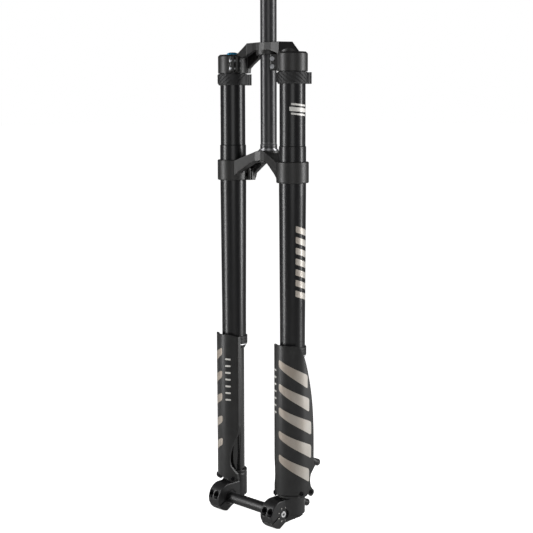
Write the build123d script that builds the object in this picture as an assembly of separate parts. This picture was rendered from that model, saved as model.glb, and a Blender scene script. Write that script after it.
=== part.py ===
from build123d import *
from math import cos, radians, sin
import os

os.makedirs("parts", exist_ok=True)

# Inverted dual-crown bicycle suspension fork, in millimetres.
# Origin: centre of the crown race seat on the steerer axis.  +Z runs up the steerer,
# -Y is forward, +X is the rider's left, the brake side.
# The outer legs are held by two crowns; the inner legs slide up into them by the travel.

# ---- driving dimensions ----
travel = 203.0
leg_x = 75.0                    # leg axes either side of the steerer
leg_y = -16.3                   # leg axes ahead of the steerer
steerer_r = 14.3                # 1-1/8 inch steerer
steerer_bore_r = 11.9
steerer_top = 270.0
race_seat_r = 15.0
race_seat_height = 8.0
press_r = 15.8                  # foot pressed into the lower crown
press_depth = 22.0
race_flange_r = 17.0            # shoulder the crown race rests on
lower_crown_top = -2.2
steerer_groove = (183.0, 184.8)     # relief just inside the upper crown's clamp, from and to
groove_depth = 0.5

outer_leg_r = 22.2              # outer leg where the upper crown holds it
outer_leg_waist_r = 23.3        # thickest part, through the lower crown
outer_leg_end_r = 21.9
outer_leg_bore_r = 19.2
outer_leg_top = 162.0
outer_leg_bottom = -345.0
waist_top = 7.0
waist_bottom = -70.0

inner_leg_r = 18.0
inner_leg_bore_r = 16.0
inner_leg_top = -130.0
inner_leg_bottom = -630.0
slide_gap = 0.05

upper_clamp_r = 26.0
upper_clamp_top = 165.6
upper_clamp_bottom = 133.0
upper_bridge_top = 184.5
lower_clamp_r = 28.0
lower_clamp_top = -19.7
lower_clamp_bottom = -56.0

cap_thread_r = 19.6
cap_seat = 140.0
cap_top = 165.4

tower_r = 22.2
tower_top = -591.0
tower_bottom = -640.0
boss_y = -50.5                  # round of the axle boss
boss_z = -635.5
boss_r = 25.7
hub_face_x = 55.0               # half of the 110 mm hub spacing
boss_outer_x = 83.0
axle_y = -46.5
axle_z = -635.5
axle_r = 10.0
axle_hex_corner_r = 9.95

guard_r = 32.0
guard_wall = 2.6
guard_top = -335.0

SIDES = {"left": 1, "right": -1}


# ---- helpers ----
def turned(points, x=0.0, y=0.0):
    """Solid of revolution about a vertical axis from (radius, height) points."""
    outline = Plane.XZ * make_face(Polyline(*points, close=True))
    return Pos(x, y, 0) * revolve(outline, Axis.Z)


def ring(r_out, r_in, low, high, x=0.0, y=0.0):
    """Plain tube section standing on the axis (x, y)."""
    return turned([(r_in, low), (r_out, low), (r_out, high), (r_in, high)], x, y)


def rod(r, low, high, x=0.0, y=0.0):
    """Plain vertical rod."""
    return Pos(x, y, (low + high) / 2) * Cylinder(r, high - low)


def block(x0, x1, y0, y1, z0, z1):
    """Box from its corners."""
    centre = Pos((x0 + x1) / 2, (y0 + y1) / 2, (z0 + z1) / 2)
    return centre * Box(x1 - x0, y1 - y0, z1 - z0)


def hex_prism(corner_r, low, high):
    """Hexagonal prism on the Z axis."""
    return Pos(0, 0, low) * extrude(RegularPolygon(corner_r, 6), high - low)


def front_view(points, depth=140.0):
    """Slab whose X-Z outline is the given points, mirrored to both sides."""
    mirrored = [(-x, z) for x, z in reversed(points) if x > 0]
    outline = Plane.XZ * make_face(Polyline(*(points + mirrored), close=True))
    return extrude(outline, depth / 2, both=True)


def for_side(part, side):
    """The left-hand part, or its mirror image for the right."""
    if side == 1:
        return part
    return mirror(part, Plane.YZ)


def cap_screw(shank_r, head_r, head_h, length):
    """Socket head screw on the Z axis: head above z = 0, shank below."""
    head = Pos(0, 0, head_h / 2) * Cylinder(head_r, head_h)
    head = chamfer(head.edges().group_by(Axis.Z)[-1], 0.5)
    shank = Pos(0, 0, -length / 2) * Cylinder(shank_r, length)
    return head + shank - hex_prism(head_r * 0.55, head_h * 0.4, head_h + 1)


def wide_rims(part):
    """The part's circular edges of more than 20 mm radius."""
    return part.edges().filter_by(lambda e: e.geom_type == GeomType.CIRCLE and e.radius > 20)


def on_axis(origin, outward):
    """Frame at a point whose Z runs along the outward direction."""
    return Plane(origin=origin, z_dir=outward)


def write(name, part):
    """One STEP file per sub-part."""
    part.label = name
    export_step(part, f"parts/{name}.step")


# ---- steerer and crowns ----
def steerer_tube():
    return turned([
        (steerer_bore_r, -press_depth),
        (press_r, -press_depth),
        (press_r, lower_crown_top),
        (race_flange_r, lower_crown_top),
        (race_flange_r, 0),
        (race_seat_r, 0),
        (race_seat_r, race_seat_height),
        (steerer_r, race_seat_height + 0.7),
        (steerer_r, steerer_groove[0]),
        (steerer_r - groove_depth, steerer_groove[0]),
        (steerer_r - groove_depth, steerer_groove[1]),
        (steerer_r, steerer_groove[1]),
        (steerer_r, steerer_top - 0.8),
        (steerer_r - 0.8, steerer_top),
        (steerer_bore_r, steerer_top),
    ])


def symmetric_plan(points):
    """Plan outline from the points of its left half, front first, mirrored to the right."""
    mirrored = [(-x, y) for x, y in reversed(points) if x > 0]
    return make_face(Polyline(*(points + mirrored), close=True))


def crown_bridge(plan, outline, front_underside, front_limit, low, high):
    """Bridge between the legs: its plan, cut to a front view, with the front web cut higher."""
    body = Pos(0, 0, low) * extrude(symmetric_plan(plan), high - low) & front_view(outline)
    below_front = front_view(front_underside, 100)
    return body - Pos(0, front_limit - 50, 0) * below_front


def mirrored_pair(part):
    return part + mirror(part, Plane.YZ)


lower_plan = [                  # left half from above, front edge then rear edge
    (0, -21), (12, -22.5), (54, -34.6), (75, -30), (75, 4), (54, 8), (22, 9), (0, 9),
]
lower_outline = [               # front view, left half, top edge then the rear web's underside
    (0, lower_crown_top), (10, -3.5), (27, -10.2), (54, lower_clamp_top - 1.5), (75, lower_clamp_top - 1.5),
    (75, lower_clamp_bottom), (50, lower_clamp_bottom), (42, -53.5), (40, -50), (38.5, -44),
    (11, -23.5), (0, -23),
]
lower_front_underside = [
    (0, -20), (12, -21), (23, -26), (34, -33.5), (45, -41), (51, -46.5), (60, -56), (60, -80),
]
lower_pocket_plan = [(21, -9), (52, -22), (52, 0), (21, 2)]
lower_pocket_front = [(19, -90), (19, -10), (30, -15), (52, -25), (52, -90)]
lower_boss_r = 19.5             # round hub of the crown about the steerer
lower_ear = (40.0, 58.0, -10.0, 8.0)    # pinch ear inside the leg: x from, x to, y from, y to
lower_slit_y = -4.0
lower_bolt_x = 47.0
lower_bolt_z = -46.0
lower_bolt_seat_y = 2.5
pinch_screw_r = 3.0
pinch_head_r = 5.0
pinch_head_h = 6.0


def pocket(plan, front, low, high):
    """Hollow between the front and rear webs of the left arm."""
    hollow = Pos(0, 0, low) * extrude(make_face(Polyline(*plan, close=True)), high - low)
    return hollow & extrude(Plane.XZ * make_face(Polyline(*front, close=True)), 70, both=True)


def lower_crown():
    body = crown_bridge(lower_plan, lower_outline, lower_front_underside, 1.0, -60, 2)
    body = chamfer(body.edges().filter_by(GeomType.LINE).group_by(Axis.Z)[-1], 0.4)
    body += rod(lower_boss_r, -23, lower_crown_top)
    x0, x1, y0, y1 = lower_ear
    ear = block(x0, x1, y0, y1, lower_clamp_bottom, -34)
    body += mirrored_pair(fillet(ear.edges().filter_by(Axis.Z).group_by(Axis.X)[0], 4.0))
    body -= mirrored_pair(
        pocket(lower_pocket_plan, lower_pocket_front, -90, 5) - block(*lower_ear, -90, -34))
    for s in SIDES.values():
        clamp = ring(lower_clamp_r, 10, lower_clamp_bottom, lower_clamp_top, s * leg_x, leg_y)
        body += chamfer(wide_rims(clamp), 1.2)
        body -= rod(outer_leg_waist_r, -70, 10, s * leg_x, leg_y)
        slit_x = sorted((s * 34, s * 62))
        body -= block(*slit_x, lower_slit_y - 1, lower_slit_y + 1, -60, -32)
        seat = on_axis((s * lower_bolt_x, lower_bolt_seat_y, lower_bolt_z), (0, 1, 0))
        body -= seat * Pos(0, 0, -7) * Cylinder(pinch_screw_r, 14)
        body -= seat * Pos(0, 0, 10) * Cylinder(5.6, 20)
    return body - rod(press_r, -30, 5)


upper_plan = [
    (0, -22), (10, -21), (24, -17.5), (41, -15), (51.5, -27), (75, -30), (75, 8), (45, 8),
    (20, 13), (0, 16),
]
upper_outline = [
    (0, upper_bridge_top), (75, upper_bridge_top), (75, upper_clamp_bottom), (53, upper_clamp_bottom), (52, 141.4), (24, 162.6), (0, 163),
]
upper_front_underside = [
    (0, 171.5), (18.4, 171), (28, 168), (37, 164), (55, 156), (60, 148), (60, 120),
]
upper_pocket_plan = [(21, -9), (54, -6), (54, 0), (21, 4)]
upper_pocket_front = [(19, 120), (19, 178), (40, 178), (54, 166), (54, 120)]
upper_slope = [                 # cut that slopes each arm's end down to its clamp
    (42.3, upper_bridge_top), (58.6, upper_clamp_top), (100, upper_clamp_top), (100, 200), (42.3, 200),
]
upper_slope_turn = -26.8        # the slope faces outward and forward by this angle
leg_slit_angle = 216.2          # direction of the left clamp's slit, seen from above
ear_reach = 38.5
ear_half = 9.5
leg_bolt_reach = 33.4
leg_bolt_heights = (154.0, 141.0)
leg_bolt_sink = 5.0             # depth of the screw's seat in the ear
steerer_ear_y = 31.0
steerer_bolt_y = 23.0
steerer_bolt_heights = (166.5, 178.0)
small_screw_r = 2.5
small_head_r = 4.25
small_head_h = 5.0


def clamp_frame():
    """Frame on the left leg axis with X pointing out through the clamp's slit."""
    return Pos(leg_x, leg_y, 0) * Rot(0, 0, leg_slit_angle)


def leg_clamp():
    """Left leg clamp of the upper crown, with its pinch ears."""
    cuff = ring(upper_clamp_r, 10, upper_clamp_bottom, upper_clamp_top)
    cuff = chamfer(wide_rims(cuff).group_by(Axis.Z)[-1], 3.0)
    ear = block(20, ear_reach, -ear_half, ear_half, 134.5, 161.5)
    ear = fillet(ear.edges().filter_by(Axis.Z).group_by(Axis.X)[-1], 5.0)
    ear = fillet(ear.edges().group_by(Axis.Z)[0].group_by(Axis.X)[-1], 3.0)
    return clamp_frame() * (Rot(0, 0, -leg_slit_angle) * cuff + ear)


def leg_clamp_cuts():
    """Bore, slit and screw holes of the left leg clamp."""
    cuts = rod(outer_leg_r, 120, 180)
    cuts += block(18, 42, -1.1, 1.1, 120, 172)
    for z in leg_bolt_heights:
        axis = Pos(leg_bolt_reach, 0, z) * Rot(-90, 0, 0)
        cuts += axis * Cylinder(small_screw_r, 40)
        cuts += Pos(leg_bolt_reach, ear_half - leg_bolt_sink + 10, z) * Rot(-90, 0, 0) * Cylinder(4.7, 20)
    return clamp_frame() * cuts


def upper_crown():
    body = crown_bridge(upper_plan, upper_outline, upper_front_underside, -4.0, 120, 190)
    slope = extrude(Plane.XZ * make_face(Polyline(*upper_slope, close=True)), 70, both=True)
    body -= mirrored_pair(Rot(0, 0, upper_slope_turn) * slope)
    body -= mirrored_pair(pocket(upper_pocket_plan, upper_pocket_front, 100, 190))
    body += ring(22, 10, 163, upper_bridge_top)
    ears = block(-11, 11, 10, steerer_ear_y, 161, upper_bridge_top)
    ears = fillet(ears.edges().filter_by(Axis.Z).group_by(Axis.Y)[-1], 4.0)
    ears = chamfer(ears.edges().group_by(Axis.Z)[-1], 1.0)
    body += ears
    for s in SIDES.values():
        body += for_side(leg_clamp(), s)
    for s in SIDES.values():
        body -= for_side(leg_clamp_cuts(), s)
    body -= rod(steerer_r, 120, 200)
    body -= block(-1, 1, 12, 40, 120, 200)
    for z in steerer_bolt_heights:
        body -= Pos(0, steerer_bolt_y, z) * Rot(0, 90, 0) * Cylinder(small_screw_r, 40)
        body -= Pos(7 + 10, steerer_bolt_y, z) * Rot(0, 90, 0) * Cylinder(4.7, 20)
    return body


# ---- crown screws ----
def upper_crown_leg_screws():
    group = []
    for s in SIDES.values():
        for z in leg_bolt_heights:
            screw = Pos(leg_bolt_reach, ear_half - leg_bolt_sink, z) * Rot(-90, 0, 0)
            screw *= cap_screw(small_screw_r, small_head_r, small_head_h, 14.0)
            group.append(for_side(clamp_frame() * screw, s))
    return Compound(children=group)


def steerer_clamp_screws():
    group = []
    for z in steerer_bolt_heights:
        seat = on_axis((7, steerer_bolt_y, z), (1, 0, 0))
        group.append(seat * cap_screw(small_screw_r, small_head_r, small_head_h, 16.0))
    return Compound(children=group)


def lower_crown_screws():
    group = []
    for s in SIDES.values():
        seat = on_axis((s * lower_bolt_x, lower_bolt_seat_y, lower_bolt_z), (0, 1, 0))
        group.append(seat * cap_screw(pinch_screw_r, pinch_head_r, pinch_head_h, 11.5))
    return Compound(children=group)


# ---- outer legs and what rides on them ----
def outer_leg():
    return turned([
        (outer_leg_bore_r + 1.6, outer_leg_bottom),
        (outer_leg_end_r, outer_leg_bottom),
        (outer_leg_end_r, -304),
        (outer_leg_waist_r, waist_bottom),
        (outer_leg_waist_r, waist_top - 1.1),
        (outer_leg_r, waist_top),
        (outer_leg_r, outer_leg_top),
        (cap_thread_r, outer_leg_top),
        (cap_thread_r, cap_seat - 2),
        (outer_leg_bore_r, cap_seat - 2),
        (outer_leg_bore_r, outer_leg_bottom + 12),
        (outer_leg_bore_r + 1.6, outer_leg_bottom + 12),
    ], leg_x, leg_y)


bumper_low = 112.0
bumper_high = 132.2
bumper_r = 26.0
bumper_tab_reach = 42.5


def frame_bumper():
    """Rubber sleeve that meets the bicycle's frame at full lock, with its rear tab."""
    sleeve = turned([
        (outer_leg_r, bumper_low), (24.8, bumper_low), (bumper_r, bumper_low + 2.4),
        (bumper_r, bumper_high - 1.2), (bumper_r - 0.8, bumper_high), (outer_leg_r, bumper_high),
    ])
    tab = block(-4.5, 4.5, outer_leg_r + 1, bumper_tab_reach - 3, bumper_low + 0.6, bumper_high - 0.2)
    lip = block(-5.5, 5.5, bumper_tab_reach - 4, bumper_tab_reach, bumper_low + 0.4, bumper_high)
    tab += chamfer(lip.edges().filter_by(Axis.Z), 1.2)
    core = block(-3.7, 3.7, 20, 40, 100, 140)
    for y in (29.5, 33.5):
        tab -= block(-8, 8, y, y + 1.2, bumper_low, bumper_high) - core
    return Pos(leg_x, leg_y, 0) * (sleeve + tab)


def wiper_seal():
    return turned([
        (inner_leg_r + slide_gap, -363), (19.2, -363), (21.6, -358.4), (21.6, -357.2),
        (20.9, -357.2), (20.9, -353.6), (24.2, -353.6), (24.2, -350.8), (23.7, -350.3),
        (23.7, -349.3), (24.2, -348.8), (24.2, -345.6), (23.7, -345.1), (23.7, -344.1),
        (24.2, -343.6), (24.2, -340.6), (23.8, -340), (outer_leg_end_r, -340),
        (outer_leg_end_r, outer_leg_bottom), (19.6, outer_leg_bottom), (19.6, -359),
        (inner_leg_r + slide_gap, -361),
    ], leg_x, leg_y)


def wiper_spring():
    return Pos(leg_x, leg_y, -355.4) * Torus(22.3, 1.4)


def oil_seal():
    return turned([
        (inner_leg_r + slide_gap, outer_leg_bottom), (20.8, outer_leg_bottom),
        (20.8, outer_leg_bottom + 12), (18.9, outer_leg_bottom + 12),
        (18.9, outer_leg_bottom + 3), (inner_leg_r + slide_gap, outer_leg_bottom + 1.5),
    ], leg_x, leg_y)


def outer_bushing():
    return ring(outer_leg_bore_r, inner_leg_r + slide_gap, -330, -300, leg_x, leg_y)


def top_cap(side):
    """Threaded cap; the left one carries the air shaft, the right one the damper tube."""
    cap = turned([
        (0, cap_seat), (cap_thread_r, cap_seat), (cap_thread_r, outer_leg_top),
        (21.6, outer_leg_top), (21.6, cap_top - 1.4), (20.2, cap_top), (0, cap_top),
    ])
    if side == 1:
        cap += rod(12, 104, cap_seat + 1)
        cap -= rod(air_shaft_r, 100, 152)
        cap -= hex_prism(8.0, cap_top - 4, cap_top + 1)
    else:
        cap += ring(17, damper_tube_r, 124, cap_seat + 0.5)
        cap -= rod(needle_r + 0.1, 100, 200)
        cap -= rod(knob_r + 0.4, cap_top - 2.5, 200)
    for k in range(8):
        notch = Rot(0, 0, 45 * k) * Pos(21.6, 0, cap_top) * Cylinder(1.6, 4)
        cap -= notch
    return Pos(side * leg_x, leg_y, 0) * cap


# ---- damper, in the right leg ----
damper_tube_r = 14.0
damper_bore_r = 12.5
damper_tube_bottom = -195.0
damper_rod_r = 5.0
needle_r = 2.0
knob_r = 10.5
right = (-leg_x, leg_y)


def damper_tube():
    return ring(damper_tube_r, damper_bore_r, damper_tube_bottom, cap_seat - 1.5, *right)


def compression_stem():
    return ring(5.0, needle_r + 0.1, 78, cap_seat, *right)


def compression_valve():
    valve = ring(damper_bore_r, needle_r + 0.1, 66, 78)
    for k in range(6):
        valve -= Rot(0, 0, 60 * k) * Pos(8.2, 0, 72) * Cylinder(1.4, 20)
    valve -= ring(20, 11.4, 70.5, 73.5)
    return Pos(*right, 0) * valve


def compression_needle():
    return rod(needle_r, 70, cap_top - 2.2, *right)


def compression_knob():
    knob = turned([
        (0, cap_top - 2.2), (knob_r - 0.6, cap_top - 2.2), (knob_r, cap_top - 1.6),
        (knob_r, cap_top + 1.2), (8.6, cap_top + 3.4), (4.5, cap_top + 4.4), (0, cap_top + 4.6),
    ])
    for k in range(16):
        knob -= Rot(0, 0, 22.5 * k) * Pos(knob_r + 0.9, 0, cap_top) * Cylinder(1.5, 12)
    return Pos(*right, 0) * knob


def damper_seal_head():
    head = ring(damper_bore_r, damper_rod_r + slide_gap, damper_tube_bottom, -178)
    head += ring(damper_tube_r, damper_rod_r + 1, damper_tube_bottom - 4, damper_tube_bottom)
    return Pos(*right, 0) * head


def damper_rod():
    return ring(damper_rod_r, needle_r + 0.1, tower_bottom - 4, -162, *right)


def rebound_piston():
    piston = ring(11.6, damper_rod_r, -176, -165)
    piston += ring(12.3, damper_rod_r, -176, -174) + ring(12.3, damper_rod_r, -167, -165)
    for k in range(5):
        piston -= Rot(0, 0, 72 * k) * Pos(8.4, 0, -170) * Cylinder(1.4, 20)
    return Pos(*right, 0) * piston


def piston_band():
    return ring(damper_bore_r - slide_gap, 11.6, -173.9, -167.1, *right)


def rebound_needle():
    return rod(needle_r, tower_bottom - 6, -168, *right)


def rebound_knob():
    low = tower_bottom - 11
    knob = turned([
        (0, low), (5.6, low), (6.2, low + 0.6), (6.2, low + 4.6), (5.6, low + 5), (0, low + 5),
    ])
    for k in range(12):
        knob -= Rot(0, 0, 30 * k) * Pos(6.8, 0, low) * Cylinder(1.0, 20)
    return Pos(*right, 0) * knob


def damper_foot_nut():
    nut = hex_prism(9.2, tower_bottom - 5, tower_bottom) - rod(damper_rod_r, -660, -600)
    return Pos(*right, 0) * nut


def damper_foot_plug():
    return ring(inner_leg_bore_r, damper_rod_r, inner_leg_bottom, inner_leg_bottom + 12, *right)


# ---- air spring, in the left leg ----
air_shaft_r = 7.0
left = (leg_x, leg_y)


def air_shaft():
    return ring(air_shaft_r, 5.4, -190, 152, *left)


def air_piston():
    piston = turned([
        (0, -198), (inner_leg_bore_r - 0.08, -198), (inner_leg_bore_r - 0.08, -189),
        (13.2, -189), (13.2, -184), (inner_leg_bore_r - 0.08, -184), (inner_leg_bore_r - 0.08, -176),
        (air_shaft_r, -176), (air_shaft_r, -190), (0, -190),
    ])
    return Pos(*left, 0) * piston


def air_piston_seal():
    return ring(inner_leg_bore_r - slide_gap, 13.2, -189, -184, *left)


def top_out_bumper():
    return turned([
        (air_shaft_r + 0.3, -176), (12.5, -176), (13.2, -173), (12, -165), (13.2, -157),
        (12.5, -154), (air_shaft_r + 0.3, -154),
    ], *left)


def bottom_out_bumper():
    low = inner_leg_top + travel + 3        # just clear of the inner leg at full travel
    return turned([
        (air_shaft_r + 0.3, low), (12, low), (14, low + 4), (12.6, low + 14), (14, low + 24),
        (12, low + 28), (air_shaft_r + 0.3, low + 28),
    ], *left)


def air_seal_head():
    return ring(inner_leg_bore_r, air_shaft_r + slide_gap, -153, -132, *left)


valve_r = 3.9


def air_foot_plug():
    return ring(inner_leg_bore_r, valve_r, inner_leg_bottom, inner_leg_bottom + 14, *left)


def air_valve():
    return ring(valve_r, 1.6, tower_bottom - 9, inner_leg_bottom + 18, *left)


def air_valve_cap():
    low = tower_bottom - 12
    cap = turned([
        (0, low), (5.0, low), (5.8, low + 0.8), (5.8, tower_bottom - 0.5),
        (valve_r, tower_bottom - 0.5), (valve_r, tower_bottom - 9), (0, tower_bottom - 9),
    ])
    for k in range(12):
        cap -= Rot(0, 0, 30 * k) * Pos(6.4, 0, low) * Cylinder(0.9, 30)
    return Pos(*left, 0) * cap


# ---- inner legs ----
bushing_low = -150.0
bushing_high = -135.0
bushing_groove_r = 17.2


def inner_leg():
    return turned([
        (inner_leg_bore_r, inner_leg_bottom), (inner_leg_r, inner_leg_bottom),
        (inner_leg_r, bushing_low), (bushing_groove_r, bushing_low),
        (bushing_groove_r, bushing_high), (inner_leg_r, bushing_high),
        (inner_leg_r, inner_leg_top - 1), (inner_leg_r - 0.6, inner_leg_top),
        (inner_leg_bore_r, inner_leg_top),
    ], leg_x, leg_y)


def inner_bushing():
    return ring(outer_leg_bore_r - slide_gap, bushing_groove_r, bushing_low, bushing_high, leg_x, leg_y)


# ---- dropouts ----
pinch_x = (63.0, 77.0)
pinch_tilt = 63.0                       # pinch screws lean this far below horizontal
slit_point = (-66.0, -643.0)            # where screw and slit cross, as (y, z)
pinch_down = (0, cos(radians(pinch_tilt)), -sin(radians(pinch_tilt)))
pinch_up = (0, -pinch_down[1], -pinch_down[2])
seat_above_slit = 11.0
guard_screw_angles = {"front": -40.0, "side": 75.0}   # from straight ahead, outward positive
guard_screw_heights = {"front": -603.0, "side": -598.0, "rear": -599.0}
guard_ear_y = 14.0                      # rear ear screw, behind the leg axis
standoff_r = 5.0
guard_screw_r = 2.0
foot_recess_r = 10.5                    # flat under the tower for the foot nut or valve


def along(point_yz, x, distance):
    """Point on a pinch screw's axis, a distance up from the slit."""
    return (x, point_yz[0] + pinch_up[1] * distance, point_yz[1] + pinch_up[2] * distance)


def boss_outline():
    """Side view of the axle boss and the foot that joins it to the tower, as (y, z)."""
    end_angle = radians(242)
    top = (boss_y, boss_z + boss_r)
    front = (boss_y - boss_r, boss_z)
    lower = (boss_y + boss_r * cos(end_angle), boss_z + boss_r * sin(end_angle))
    round_front = ThreePointArc(top, front, lower)
    rest = Polyline(lower, (-55, -660), (-45, -653.5), (-34.7, -648.8), (-22, -644), (-8, tower_bottom),
                    (0, tower_bottom), (0, -609.3), top)
    return make_face(round_front + rest)


def foot():
    """Left axle boss with the foot that blends into the tower."""
    side_view = extrude(Plane.YZ * boss_outline(), 100)
    plan = make_face(Polyline(
        (54, -80), (boss_outer_x, -80), (boss_outer_x, -42), (96.6, -20), (96.6, -12), (54, -12),
        close=True))
    solid = side_view & Pos(0, 0, -670) * extrude(plan, 70)
    return fillet(wide_rims(solid), 2.0)


def tower():
    return turned([
        (0, tower_bottom), (tower_r - 1.5, tower_bottom), (tower_r, tower_bottom + 1.5),
        (tower_r, -598.6), (tower_r - 0.8, -598), (tower_r - 0.8, -596.8), (tower_r, -596.2),
        (tower_r, tower_top - 1), (tower_r - 1, tower_top), (0, tower_top),
    ], leg_x, leg_y)


def guard_screw_frames():
    """Seats of the left guard's screws: a frame on the guard's surface pointing outward."""
    frames = []
    for name, angle in guard_screw_angles.items():
        out = (sin(radians(angle)), -cos(radians(angle)), 0)
        point = (leg_x + out[0] * guard_r, leg_y + out[1] * guard_r, guard_screw_heights[name])
        frames.append(on_axis(point, out))
    rear = (leg_x + guard_r, leg_y + guard_ear_y, guard_screw_heights["rear"])
    frames.append(on_axis(rear, (1, 0, 0)))
    return frames


def standoffs():
    """Three pads on the tower that the leg guard is screwed to."""
    pads = None
    reach = guard_r - 16.0
    pad_face = guard_wall + 0.5         # clear of the guard's curved inner wall
    for frame in guard_screw_frames():
        pad = frame * (Pos(0, 0, -pad_face - reach / 2) * Cylinder(standoff_r, reach))
        pads = pad if pads is None else pads + pad
    return pads


post_x = 62.0
post_tilt = 21.9                        # caliper line leans back this far from vertical
post_top = (62.5, -568.5)               # face of the upper post, as (y, z)
post_pitch = 74.2
post_r = 6.5
post_out = (0, cos(radians(post_tilt)), -sin(radians(post_tilt)))
post_thread_r = 2.5
post_thread_depth = 14.0


def post_faces():
    """Centres of the two brake post faces, upper then lower."""
    y, z = post_top
    step_y = post_pitch * sin(radians(post_tilt))
    step_z = post_pitch * cos(radians(post_tilt))
    return [(post_x, y, z), (post_x, y - step_y, z - step_z)]


def brake_mount():
    """Web and two posts behind the left tower for a post-mount caliper."""
    web_outline = make_face(Polyline(
        (-6, -593), (20, -586), (44, -558.5), (50, -557), (53, -569), (30, -597), (24, -624),
        (30, -633), (26, -640), (-6, -640), close=True))
    window = make_face(Polyline((12, -600), (24, -597), (16, -622), (12, -625), close=True))
    web = Pos(post_x - 5, 0, 0) * extrude(Plane.YZ * (web_outline - window), 10)
    for face in post_faces():
        back = [face[i] - post_out[i] * 12 for i in range(3)]
        web += on_axis(back, post_out) * (Pos(0, 0, 6) * Cylinder(post_r, 12))
        web += on_axis(back, post_out) * Sphere(post_r)
    return web


def dropout(side_name):
    body = tower() + foot() + standoffs()
    if side_name == "left":
        body += brake_mount()
    body -= rod(inner_leg_r, inner_leg_bottom, tower_top + 1, leg_x, leg_y)
    body -= rod(foot_recess_r, -670, tower_bottom, leg_x, leg_y)
    for frame in guard_screw_frames():
        body -= frame * (Pos(0, 0, -10) * Cylinder(guard_screw_r, 20))
    axle_line = Pos(0, axle_y, axle_z) * Rot(0, 90, 0)
    body -= axle_line * Pos(0, 0, hub_face_x - 10) * Cylinder(13.5, 20)
    if side_name == "left":
        body -= axle_line * Pos(0, 0, 75) * Cylinder(axle_r + slide_gap, 80)
    else:
        body -= axle_line * hex_prism(axle_hex_corner_r + 0.12, 40, 110)
    slit_turn = 90 - pinch_tilt
    slit = Box(60, 24, 1.6)
    body -= Pos(72, slit_point[0] + 1.5, slit_point[1] + 0.8) * Rot(slit_turn, 0, 0) * slit
    for x in pinch_x:
        seat = on_axis(along(slit_point, x, seat_above_slit), pinch_up)
        body -= seat * (Pos(0, 0, 15) * Cylinder(5.7, 30))
        body -= seat * Cylinder(pinch_screw_r, 50)
    if side_name == "left":
        body -= rod(valve_r + 0.1, -660, -600, *left)
        for face in post_faces():
            body -= on_axis(face, post_out) * Cylinder(post_thread_r, post_thread_depth * 2)
        return body
    body -= rod(damper_rod_r, -660, -600, *left)
    return mirror(body, Plane.YZ)


def axle_pinch_screws():
    group = []
    for s in SIDES.values():
        for x in pinch_x:
            seat = on_axis(along(slit_point, x, seat_above_slit), pinch_up)
            screw = seat * cap_screw(pinch_screw_r, pinch_head_r, pinch_head_h, 22.0)
            group.append(for_side(screw, s))
    return Compound(children=group)


# ---- leg guards ----
def guard_outer_view():
    """Side outline of the guard's outer wall, as (distance behind the leg axis, z)."""
    top_edge = Spline(
        (-13, guard_top - 2), (-3.5, -354), (6.8, -385), (15.7, -428), (20.6, -490), (20.8, -540))
    lower_edge = Spline((20.8, -540), (15.5, -562), (12.2, -578), (15, -590), (20.5, -596))
    ear = ThreePointArc((20.5, -596), (19.5, -605), (13, -606.5))
    bottom = Polyline((13, -606.5), (7, -601), (3, -604), (-10, -606), (-18, -601.5), (-45, -601.5),
                      (-45, guard_top), (-20, guard_top), (-13, guard_top - 2))
    return make_face(top_edge + lower_edge + ear + bottom)


def guard_inner_view():
    """Front outline of the guard's inner half, as (distance from the leg axis, z)."""
    edge = Spline((-27.7, -500), (-25.5, -522), (-19, -545), (-17.6, -580))
    ear = Polyline((-17.6, -580), (-25.5, -594), (-26.5, -605), (-22, -608.8), (-17, -608.4), (-11, -602),
                   (1, -601.5), (1, guard_top), (-18, guard_top), (-27.7, -339), (-27.7, -500))
    return make_face(edge + ear)


def leg_guard():
    plan = Circle(guard_r) - Circle(guard_r - guard_wall)
    plan &= Pos(0, -guard_r / 2) * Rectangle(2 * guard_r, guard_r)
    plan += Pos(guard_r - guard_wall / 2, 12.5) * Rectangle(guard_wall, 25)
    shell = Pos(0, 0, -615) * extrude(plan, 285)
    outer = shell & extrude(Plane.YZ * guard_outer_view(), 40)
    inner = shell & extrude(Plane.XZ * guard_inner_view(), 40)
    lip = ring(guard_r + 2.6, guard_r - guard_wall, -604.5, -601.5)
    lip &= Pos(16, -23, -603) * Box(28, 24, 10)
    guard = outer + inner + lip
    guard = Pos(leg_x, leg_y, 0) * guard
    for frame in guard_screw_frames():
        guard -= frame * (Pos(0, 0, 0.6) * Cylinder(4.4, 2.4))
        guard -= frame * Cylinder(guard_screw_r + 0.2, 12)
    return guard


def guard_screws():
    group = []
    for s in SIDES.values():
        for frame in guard_screw_frames():
            screw = frame * (Pos(0, 0, -0.6) * cap_screw(guard_screw_r, 3.6, 2.4, 9.0))
            group.append(for_side(screw, s))
    return Compound(children=group)


# ---- axle ----
def thru_axle():
    """Hex-ended axle: the hexagon keys into the right dropout and passes the left one."""
    hub_end = hub_face_x - 0.1
    body = rod(axle_r, -hub_end, boss_outer_x - 0.4)
    body -= ring(axle_r + 1, axle_r - groove_depth, hub_end, hub_end + 1.6)
    body += hex_prism(axle_hex_corner_r, -boss_outer_x + 0.4, -hub_end)
    body -= Pos(0, 0, -7) * Cylinder(7.0, 156)
    body -= Pos(0, 0, 76) * Cylinder(5.4, 20)
    return Pos(0, axle_y, axle_z) * Rot(0, 90, 0) * body


def axle_drive_plug():
    plug = Pos(0, 0, 71) * extrude(Circle(5.4), 12.4)
    plug = chamfer(plug.edges().group_by(Axis.Z)[-1], 0.4)
    plug -= hex_prism(2.9, 76, 90)
    return Pos(0, axle_y, axle_z) * Rot(0, 90, 0) * plug


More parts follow.
